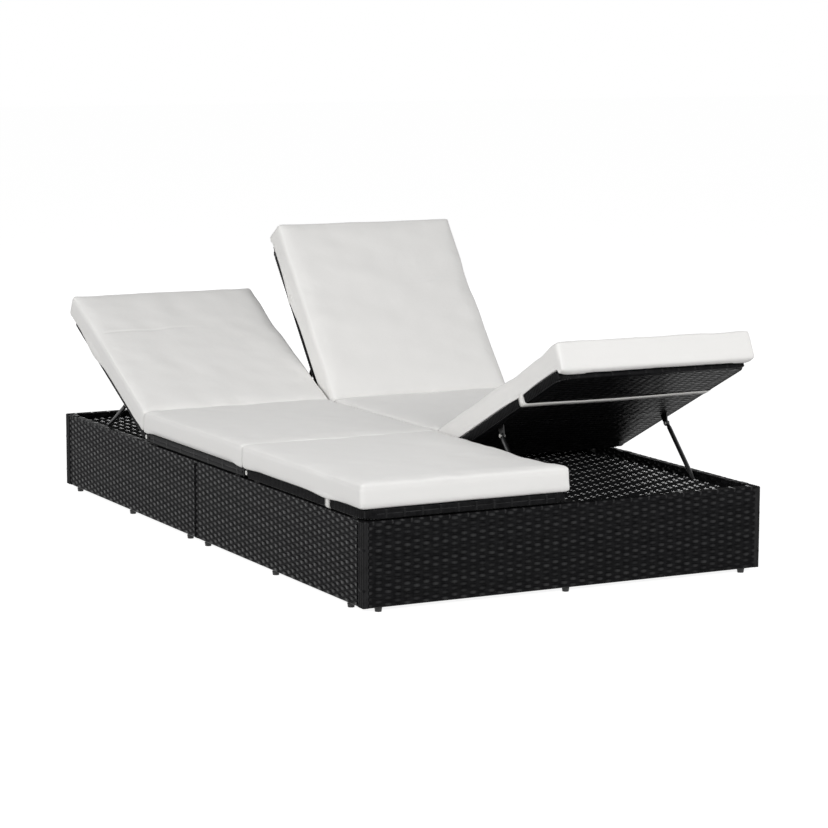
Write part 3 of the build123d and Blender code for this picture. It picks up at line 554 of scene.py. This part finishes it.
def panel(name):
    place = panel_place(name)
    low, high = local_box(f"{name}_weave", place)
    seat = name.endswith("seat")
    body = "base" if seat else f"{name}_panel"
    bm = bmesh.new()
    x, y, z = axes
    size = high - low
    shade_core(bm, low, high)
    inset = panel_inset
    rows = round((size.y - 2 * inset) / strand_pitch)
    for out, detail, rise in ((z, 2, 0.5 * mm), (-z, 3, 1.3 * mm)):
        level = high.z if out.z > 0 else low.z

        def weave(stakes, rise=rise):
            lift = plain_weave(stakes, rise=rise)
            return lambda t, row: lift(t, row) * np.clip(3 * stakes * np.minimum(t, 1 - t), 0, 1)

        if seat:
            start = Vector((low.x if out.z < 0 else high.x, low.y + inset, level))
            start.x += inset if out.z < 0 else -inset
            woven_face(bm, start, y, x if out.z < 0 else -x, out, size.y - 2 * inset, size.x - 2 * inset, 17,
                       detail=detail, lift=weave, crown=0.6 * mm)
            continue

        def narrowing(row):
            away = (row + 0.5) * (size.y - 2 * inset) / rows + inset
            over = np.clip(away - (size.y - free_corner), 0, free_corner)
            cut = free_corner - np.sqrt(np.maximum(free_corner ** 2 - over ** 2, 0))
            return 1 - 2 * cut / size.x

        start = Vector((low.x + inset, low.y + inset, level))
        woven_face(bm, start, x, y, out, size.x - 2 * inset, size.y - 2 * inset, 19, detail=detail,
                   lift=weave, crown=0.6 * mm, share=narrowing)
    edges(bm, low, high, seat)
    bmesh.ops.transform(bm, matrix=place, verts=bm.verts[:])
    return as_piece(bm, f"{name}_strands", rattan_strand, body, [f"{name}_weave"], crisp=60)


def edges(bm, low, high, seat):
    """Strand turns round the side tubes and long bands with ties round the end tubes."""
    x, y, z = axes
    size = high - low
    middle_z = (low.z + high.z) / 2
    half_z = size.z / 2 - 0.5 * mm
    for side in (-1, 1):
        edge_x = low.x if side < 0 else high.x
        if seat:
            start = Vector((edge_x - side * turn_half, low.y, middle_z))
            bands(bm, start, y, x * side, z, size.y, half_z, side_tie_pitch)
            continue
        centre = Vector((edge_x - side * turn_half, low.y + strand_pitch / 2, middle_z))
        count = int((size.y - free_corner) / strand_pitch)
        turns(bm, centre, x, z, half_z, y * strand_pitch, count)
    for end in (0, 1):
        edge_y = high.y if end else low.y
        out = y if end else -y
        reach = size.x - (2 * free_corner if end and not seat else 2 * mm)
        if seat:
            centre = Vector((low.x + strand_pitch / 2, edge_y - out.y * turn_half, middle_z))
            ring = round_tube(centre, y, z, turn_half - 0.5 * mm, half_z - 0.3 * mm, turn_radius)
            lay(bm, ring, x * strand_pitch, int(size.x / strand_pitch), strand_width, 16, closed=True,
                crown=0.6 * mm)
            continue
        start = Vector((low.x + (size.x - reach) / 2, edge_y - out.y * turn_half, middle_z))
        bands(bm, start, x, out, z, reach, half_z, end_tie_pitch)
        if end:
            for side in (-1, 1):
                fanned_corner(bm, low, high, side, half_z)


def turns(bm, centre, out, up, half_z, step, count):
    """Strand turns side by side round a tube."""
    ring = round_tube(centre, out, up, turn_half - 0.8 * mm, half_z - 1 * mm, turn_radius)
    lay(bm, ring, step, count, turn_width, 16, closed=True, crown=turn_crown)


def bands(bm, start, along, out, up, length, half_z, tie_pitch):
    """Two broad strands laid along a tube's outer face, more on its top and bottom, and ties round them."""
    face = start + out * (turn_half - border_sink)
    pieces = max(4, int(length / (18 * mm)))
    lay(bm, straight(face - up * (half_z / 2 - 0.6 * mm), along, out, length), up * (half_z - 1.2 * mm), 2,
        half_z - 2.2 * mm, pieces, crown=1.6 * mm, seed=21)
    for side in (-1, 1):
        skin = start + up * side * (half_z - 0.9 * mm)
        lay(bm, straight(skin - out * 4 * mm, along, up * side, length), out * strand_pitch, 2, strand_width,
            pieces, seed=23)
    ties = max(2, round(length / tie_pitch))
    gap = length / ties
    ring = round_tube(start + along * gap / 2, out, up, turn_half, half_z - 0.2 * mm, turn_radius)
    lay(bm, ring, along * gap, ties, 6 * mm, 16, closed=True, crown=tie_crown, plain_bend=0.5)


def fanned_corner(bm, low, high, side, half_z):
    """Turns that fan round a rounded free corner."""
    middle_z = (low.z + high.z) / 2
    centre = Vector(((low.x if side < 0 else high.x) - side * free_corner, high.y - free_corner, middle_z))
    count = 7
    for i in range(count):
        turn = math.pi / 2 * (i + 0.5) / count
        out = Vector((side * math.cos(turn), math.sin(turn), 0))
        along = Vector((-out.y, out.x, 0))
        spot = centre + out * (free_corner - turn_half)
        turns(bm, spot, out, axes[2], half_z, along, 1)


panel_names = [f"{side}_{part}" for side in sides for part in ("back", "seat", "foot")]
for panel_name in panel_names:
    panel(panel_name)


# Cushions: each swells under pressure, then its seams, overhang and creases are worked in

def pad_mesh(low, high, leans):
    """A box a little smaller than the cushion, its folding ends leaning, with rounded edges."""
    bm = bmesh.new()
    bmesh.ops.create_cube(bm, size=1.0)
    size = high - low
    bmesh.ops.scale(bm, vec=size - pad_slack, verts=bm.verts[:])
    bmesh.ops.translate(bm, vec=(low + high) / 2 - Vector((0, 0, 0.5 * mm)), verts=bm.verts[:])
    for end, lean in enumerate(leans):
        if lean is None:
            continue
        middle = (low.y + high.y) / 2
        for v in [v for v in bm.verts if (v.co.y > middle) == (end == 1)]:
            v.co.y = leaning_end(low, high, leans, end, v.co.z) + (4 * mm if end == 0 else -4 * mm)
    bmesh.ops.bevel(bm, geom=bm.edges[:], offset=pad_round, offset_type="OFFSET", segments=3, profile=0.5,
                    affect="EDGES", material=-1)
    return bm


def leaning_end(low, high, leans, end, z):
    """How far along the cushion its end stands at a height, half-way through the fold."""
    if leans[end] is None:
        return high.y if end else low.y
    return low.y + np.tan(leans[end]) * z if end == 0 else high.y - np.tan(leans[end]) * z


def swelled(bm, name):
    """The shape as an evenly meshed skin after cloth under pressure has rounded it."""
    mesh = bpy.data.meshes.new(name)
    bm.to_mesh(mesh)
    bm.free()
    pad = bpy.data.objects.new(name, mesh)
    bpy.context.scene.collection.objects.link(pad)
    remesh = pad.modifiers.new("remesh", "REMESH")
    remesh.mode = "VOXEL"
    remesh.voxel_size = voxel
    skin = taken(pad)
    pad.modifiers.clear()
    pad.data = skin
    before = points_of(skin)
    cloth = pad.modifiers.new("cloth", "CLOTH")
    cloth.settings.use_pressure = True
    cloth.settings.uniform_pressure_force = 4.0
    cloth.settings.effector_weights.gravity = 0
    cloth.settings.quality = 4
    cloth.settings.tension_stiffness = 15
    cloth.settings.compression_stiffness = 15
    cloth.settings.bending_stiffness = 2.0
    cloth.collision_settings.use_collision = False
    cloth.point_cache.frame_start = 1
    cloth.point_cache.frame_end = swell_frames
    for step in range(1, swell_frames + 1):
        bpy.context.scene.frame_set(step)
    after = taken(pad)
    move = points_of(after) - before
    far = np.maximum(np.linalg.norm(move, axis=1, keepdims=True), 1e-9)
    before = before + move / far * swell_cap * np.tanh(far / swell_cap)
    pad.modifiers.clear()
    bpy.context.scene.frame_set(1)
    bpy.data.meshes.remove(after)
    skin.vertices.foreach_set("co", before.ravel())
    smooth = pad.modifiers.new("smooth", "SUBSURF")
    smooth.levels = smooth.render_levels = 1
    fine = taken(pad)
    bpy.data.objects.remove(pad)
    return fine


def taken(piece):
    """The mesh that an object's modifiers give."""
    bpy.context.view_layer.update()
    graph = bpy.context.evaluated_depsgraph_get()
    return bpy.data.meshes.new_from_object(piece.evaluated_get(graph))


def points_of(mesh):
    place = np.empty(len(mesh.vertices) * 3)
    mesh.vertices.foreach_get("co", place)
    return place.reshape(-1, 3)


def filled(p, low, high, leans):
    """The skin stretched sideways and lengthways until it just fills the cushion's own space."""
    x, y, z = p.T
    x = low.x + (x - x.min()) / (x.max() - x.min()) * (high.x - low.x)
    near = leaning_end(low, high, leans, 0, z)
    far = leaning_end(low, high, leans, 1, z)
    share = (y - near) / (far - near)
    share = (share - share.min()) / (share.max() - share.min())
    return np.stack([x, near + share * (far - near), z], 1)


def step_up(x, low, high):
    """0 below low, 1 above high, and smooth between."""
    t = np.clip((x - low) / (high - low), 0, 1)
    return t * t * (3 - 2 * t)


def worked(p, low, high, leans, outward, edges_at, drops, seed):
    """Crown, drawn-in sides, drooping overhang, pulls at the straps, seams and shallow creases."""
    random = np.random.default_rng(seed)
    x, y, z = filled(p, low, high, leans).T.copy()
    inner_edge, outer_edge, panel_end = edges_at
    centre = (low.x + high.x) / 2
    half = (high.x - low.x) / 2
    u = (x - centre) / half
    free = leans[1] is None
    along = (y - low.y) / (high.y - low.y)
    top = step_up(z, low.z + 20 * mm, high.z - 10 * mm)
    belly = 4 * along * (1 - along)
    x = centre + (x - centre) * (1 - 0.003 * belly)
    z = z + top * 2.5 * mm * (1 - u ** 2) * (0.4 + 0.6 * belly)
    for _ in range(ripples):
        turn = random.uniform(0, np.pi)
        wave = random.uniform(60, 190) * mm
        phase = random.uniform(0, 2 * np.pi)
        ripple = np.sin((x * np.cos(turn) + y * np.sin(turn)) * 2 * np.pi / wave + phase)
        z = z + top * ripple * ripple_height * wave / (100 * mm)
    # The part that hangs past the panel's edges droops, and the strap draws it down further
    side = outward * x
    inner_past = 1 - step_up(side, inner_edge + 3 * mm, inner_edge + 10 * mm)
    past = step_up(side, outer_edge, outer_edge + 6 * mm) + inner_past
    strap = np.exp(-((y - (panel_end - strap_from_end)) / (70 * mm)) ** 2) if free else 0 * y
    lower = 1 - step_up(z, low.z + 2 * mm, low.z + 40 * mm)
    clear = step_up(np.minimum(y - low.y, 1 if free else high.y - y), 25 * mm, 90 * mm)
    x = x + outward * inner_past * lower * clear * (inner_edge - 1.8 * mm - side)
    droop = past * (3 * mm + clear * (drops[0] + drops[1] * strap))
    if free:
        over = step_up(y, panel_end + 1 * mm, panel_end + 8 * mm)
        droop = np.maximum(droop, over * drops[2])
        z = z + top * drops[3] * step_up(y, high.y - 110 * mm, high.y - 15 * mm)
    inside = (1 - past) * (1 - (over if free else 0))
    floor_z = low.z + arch(y, low, high, leans)
    z = np.where((z < floor_z) & (inside > 0.02), floor_z, z)
    z = z - lower * droop
    # The strap's pull, a shallow dip in both sides and a soft crease across the top
    if free:
        pull = strap * np.exp(-((np.abs(u) - 1) / 0.12) ** 2)
        x = x - np.sign(u) * pull * 2.5 * mm * (z > low.z + 6 * mm)
        z = z - top * strap * (1.2 * mm + 2.5 * mm * np.abs(u) ** 4)
        line = panel_end - strap_from_end - 5 * mm + 3 * mm * np.sin(x * 31 + seed)
        crease = np.exp(-((y - line) / (4 * mm)) ** 2) * step_up(outward * u, -0.4, 0.7)
        z = z - top * crease * drops[4] * (1 - step_up(np.abs(u), 0.88, 0.94))
    # Seams where the top and bottom covers meet the side band
    for level in (high.z - 11 * mm, low.z + 9 * mm):
        near = np.exp(-((z - level - top * 2 * mm) / seam_width) ** 2)
        rim = step_up(np.abs(u), 0.975, 0.99)
        ends = step_up(y, high.y - 12 * mm, high.y - 5 * mm) if free else 0 * y
        x = x - np.sign(u) * near * rim * seam_depth
        y = y - near * ends * seam_depth
    for end, sign in ((0, 1), (1, -1)):
        if leans[end] is not None:
            stop = leaning_end(low, high, leans, end, z) + sign * 0.5 * mm
            y = np.maximum(y, stop) if end == 0 else np.minimum(y, stop)
    inner = -outward * (x - centre)
    x = np.where(inner > half - 0.3 * mm, centre - outward * (half - 0.3 * mm), x)
    return np.stack([x, y, z], 1)


def arch(y, low, high, leans):
    """The underside lifts towards a fold, so that it clears the panels when they fold further."""
    rise = 0 * y
    for end, sign in ((0, 1), (1, -1)):
        if leans[end] is not None:
            away = sign * (y - (low.y if end == 0 else high.y))
            rise = np.maximum(rise, fold_lift * (1 - step_up(away, 15 * mm, 70 * mm)))
    return rise + 0.3 * mm


# How far the overhang droops beside a panel (less than 0 lifts it), how much further at the strap,
# how far it droops past the panel's free end, how much fuller the cushion is there, and how deep the
# crease at the strap is
drops = {
    "left_back": (4 * mm, 14 * mm, 9 * mm, 0, 1.8 * mm),
    "right_back": (7 * mm, 13 * mm, 16 * mm, 0, 0.3 * mm),
    "left_seat": (-6 * mm, 0, 0, 0, 0),
    "right_seat": (-6 * mm, 0, 0, 0, 0),
    "left_foot": (-3 * mm, 6 * mm, 0, 4 * mm, 0.5 * mm),
    "right_foot": (1 * mm, 6 * mm, 15 * mm, 5 * mm, 0.5 * mm),
}


def cushion(name):
    place = panel_place(name)
    low, high = local_box(f"{name}_cushion", place)
    panel_low, panel_high = local_box(f"{name}_weave", place)
    side_name, part = name.split("_")
    folds = {p: math.radians(-joints[f"{side_name}_{p}_hinge"]["range_deg"][0]) / 2 for p in ("back", "foot")}
    if part == "seat":
        low.y = joints[f"{side_name}_foot_hinge"]["pos_m"][1]
        high.y = joints[f"{side_name}_back_hinge"]["pos_m"][1]
        leans = (folds["foot"], folds["back"])
        outward = math.copysign(1, (low.x + high.x) / 2 + place.translation.x)
    else:
        low.y = 0
        leans = (folds[part], None)
        outward = 1 if low.x + high.x > 0 else -1
    spans = sorted((outward * panel_low.x, outward * panel_high.x))
    edges_at = (spans[0], spans[1], panel_high.y)
    fine = swelled(pad_mesh(low, high, leans), f"{name}_cushion_pad")
    shape = worked(points_of(fine), low, high, leans, outward, edges_at, drops[name], len(name) * 31)
    fine.vertices.foreach_set("co", shape.ravel())
    bm = bmesh.new()
    bm.from_mesh(fine)
    bpy.data.meshes.remove(fine)
    if part != "seat":
        cover(bm, name, place, part)
        return
    middle = (low.y + high.y) / 2
    for joined, keep_high in (("back", True), ("foot", False)):
        half = bm.copy()
        geom = half.verts[:] + half.edges[:] + half.faces[:]
        bmesh.ops.bisect_plane(half, geom=geom, dist=1e-6, plane_co=(0, middle, 0), plane_no=(0, 1, 0),
                               clear_inner=keep_high, clear_outer=not keep_high)
        rim = [e for e in half.edges if e.is_boundary]
        bmesh.ops.holes_fill(half, edges=rim, sides=0)
        for e in rim:
            e.smooth = False
        cover(half, name, place, joined)
    bm.free()


def cover(bm, name, place, joined):
    """Finishes a cushion piece."""
    bmesh.ops.transform(bm, matrix=place, verts=bm.verts[:])
    side_name, part = name.split("_")
    word = f"{name}_cushion_cover" if part != "seat" else f"{name}_cushion_{joined}_cover"
    piece = as_piece(bm, word, cover_cloth, None, [f"{name}_cushion"])
    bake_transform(piece)


for panel_name in panel_names:
    cushion(panel_name)


# Straps: elastic bands round the panels, which hold the cushions down

def strap(name):
    place = panel_place(name)
    low, high = local_box(f"{name}_strap", place)
    bm = bmesh.new()
    half = (high.x - low.x) / 2 - 0.6 * mm
    centre = Vector(((low.x + high.x) / 2, (low.y + high.y) / 2, 0))
    drop = low.z + 0.9 * mm
    top = high.z + 3 * mm
    bend = 6 * mm
    corners = [(-half, top), (-half, drop + bend)]
    corners += [(-half + 0.3 * bend, drop + 0.3 * bend), (-half + bend, drop)]
    corners += [(-x, z) for x, z in reversed(corners)]
    reach = np.concatenate([[0], np.cumsum([math.dist(a, b) for a, b in zip(corners, corners[1:])])])
    length = reach[-1]

    def route(t):
        x = np.interp(t * length, reach, [c[0] for c in corners])
        z = np.interp(t * length, reach, [c[1] for c in corners])
        slack = np.exp(-((t - 0.5) / 0.3) ** 4) * 1.5 * mm
        down = -np.ones_like(x) * (np.abs(x) < half * 0.995)
        out = np.stack([np.clip(x / half, -1, 1) ** 15, 0 * x, down], 1)
        out /= np.maximum(np.linalg.norm(out, axis=1, keepdims=True), 1e-6)
        points = np.stack([x + centre.x, centre.y + np.sin(t * 9) * 1.5 * mm, z - slack], 1)
        return points, out
    lay(bm, route, Vector((0, 1, 0)), 1, high.y - low.y, 120, crown=1.0 * mm, seed=5)
    # The band's two ends overlap where they are sewn together
    lap = centre + Vector((0.02, -0.5 * mm, drop - 2.2 * mm))
    lay(bm, straight(lap, (-0.9994, 0.035, 0), (0, 0, -1), strap_lap), Vector((0, 1, 0)), 1,
        high.y - low.y - 1 * mm, 12, crown=1.0 * mm, seed=6)
    bmesh.ops.transform(bm, matrix=place, verts=bm.verts[:])
    piece = as_piece(bm, f"{name}_strap_band", strap_elastic, f"{name}_panel",
                     [f"{name}_strap"])


for panel_name in panel_names:
    if not panel_name.endswith("seat"):
        strap(panel_name)


# Finishes of the carried-over steel, plastic and rubber parts

finishes = {
    "frame_steel": frame_coat,
    "prop_steel": prop_coat,
    "bright_steel": bright_zinc,
    "foot_plastic": foot_plastic,
    "buffer_rubber": buffer_rubber,
    "strap_elastic": strap_elastic,
    "woven_wicker": rattan_strand,
    "cushion_cloth": cover_cloth,
}
for part in frame["nodes"].values():
    for spot in part.material_slots:
        kind = spot.material.name.split(".")[0]
        spot.material = finishes[kind]


# Floor, light and camera

def seen_straight(tree):
    """1 for what the camera sees, also in a reflection or through something clear, and 0 for other light."""
    ray = add(tree, "ShaderNodeLightPath")
    either = add(tree, "ShaderNodeMath", {0: ray.outputs["Is Camera Ray"], 1: ray.outputs["Is Glossy Ray"]},
                 operation="MAXIMUM")
    return add(tree, "ShaderNodeMath", {0: either.outputs[0], 1: ray.outputs["Is Transmission Ray"]},
               operation="MAXIMUM")


def floor():
    material = bpy.data.materials.new("pale_floor")
    material.use_nodes = True
    tree = material.node_tree
    tree.nodes.clear()
    paint = add(tree, "ShaderNodeBsdfDiffuse", values={"Color": (0.5, 0.5, 0.5, 1)})
    seen = add(tree, "ShaderNodeBsdfDiffuse", values={"Color": (0.35, 0.35, 0.35, 1)})
    glow = add(tree, "ShaderNodeEmission", values={"Color": (1, 1, 1, 1), "Strength": 0.905})
    shown = add(tree, "ShaderNodeAddShader", {0: seen.outputs[0], 1: glow.outputs[0]})
    clear = seen_straight(tree)
    mix = add(tree, "ShaderNodeMixShader", {0: clear.outputs[0], 1: paint.outputs[0], 2: shown.outputs[0]})
    add(tree, "ShaderNodeOutputMaterial", {"Surface": mix.outputs[0]})
    bm = bmesh.new()
    bmesh.ops.create_grid(bm, x_segments=1, y_segments=1, size=30)
    mesh = bpy.data.meshes.new("floor")
    bm.to_mesh(mesh)
    bm.free()
    mesh.materials.append(material)
    plane = bpy.data.objects.new("floor", mesh)
    bpy.context.scene.collection.objects.link(plane)


def sky():
    world = bpy.data.worlds.new("studio")
    bpy.context.scene.world = world
    world.use_nodes = True
    tree = world.node_tree
    tree.nodes.clear()
    clear = seen_straight(tree)
    strength = add(tree, "ShaderNodeMapRange", {"Value": clear.outputs[0]}, {3: 0.25, 4: 1.0})
    light = add(tree, "ShaderNodeBackground", {"Strength": strength.outputs[0]}, {"Color": (1, 1, 1, 1)})
    add(tree, "ShaderNodeOutputWorld", {"Surface": light.outputs[0]})


def softbox(name, place, target, size, watts):
    data = bpy.data.lights.new(name, "AREA")
    data.shape = "RECTANGLE"
    data.size, data.size_y = size
    data.energy = watts
    lamp = bpy.data.objects.new(name, data)
    bpy.context.scene.collection.objects.link(lamp)
    lamp.location = place
    lamp.rotation_euler = (Vector(target) - Vector(place)).to_track_quat("-Z", "Y").to_euler()
    return lamp


def camera():
    data = bpy.data.cameras.new("camera")
    data.lens = camera_lens
    data.sensor_width = 36
    data.clip_end = 100
    eye = bpy.data.objects.new("camera", data)
    bpy.context.scene.collection.objects.link(eye)
    yaw = Matrix.Rotation(math.radians(-camera_yaw), 4, "Z")
    pitch = Matrix.Rotation(math.radians(90 - camera_pitch), 4, "X")
    roll = Matrix.Rotation(math.radians(camera_roll), 4, "Z")
    eye.matrix_world = Matrix.Translation(camera_place) @ (yaw @ pitch) @ roll
    bpy.context.scene.camera = eye


floor()
sky()
softbox("front_softbox", (0.3, -6.0, 3.0), (0, 0, 0.3), (3.0, 2.0), 235)
softbox("left_softbox", (-5.0, -0.5, 2.4), (0, 0, 0.3), (3.0, 2.0), 140)
back = softbox("back_softbox", (3.0, 6.0, 1.6), (0, 0, 0.2), (4.0, 1.2), 60)
back.visible_camera = False
camera()
bpy.context.scene.view_settings.view_transform = "Standard"
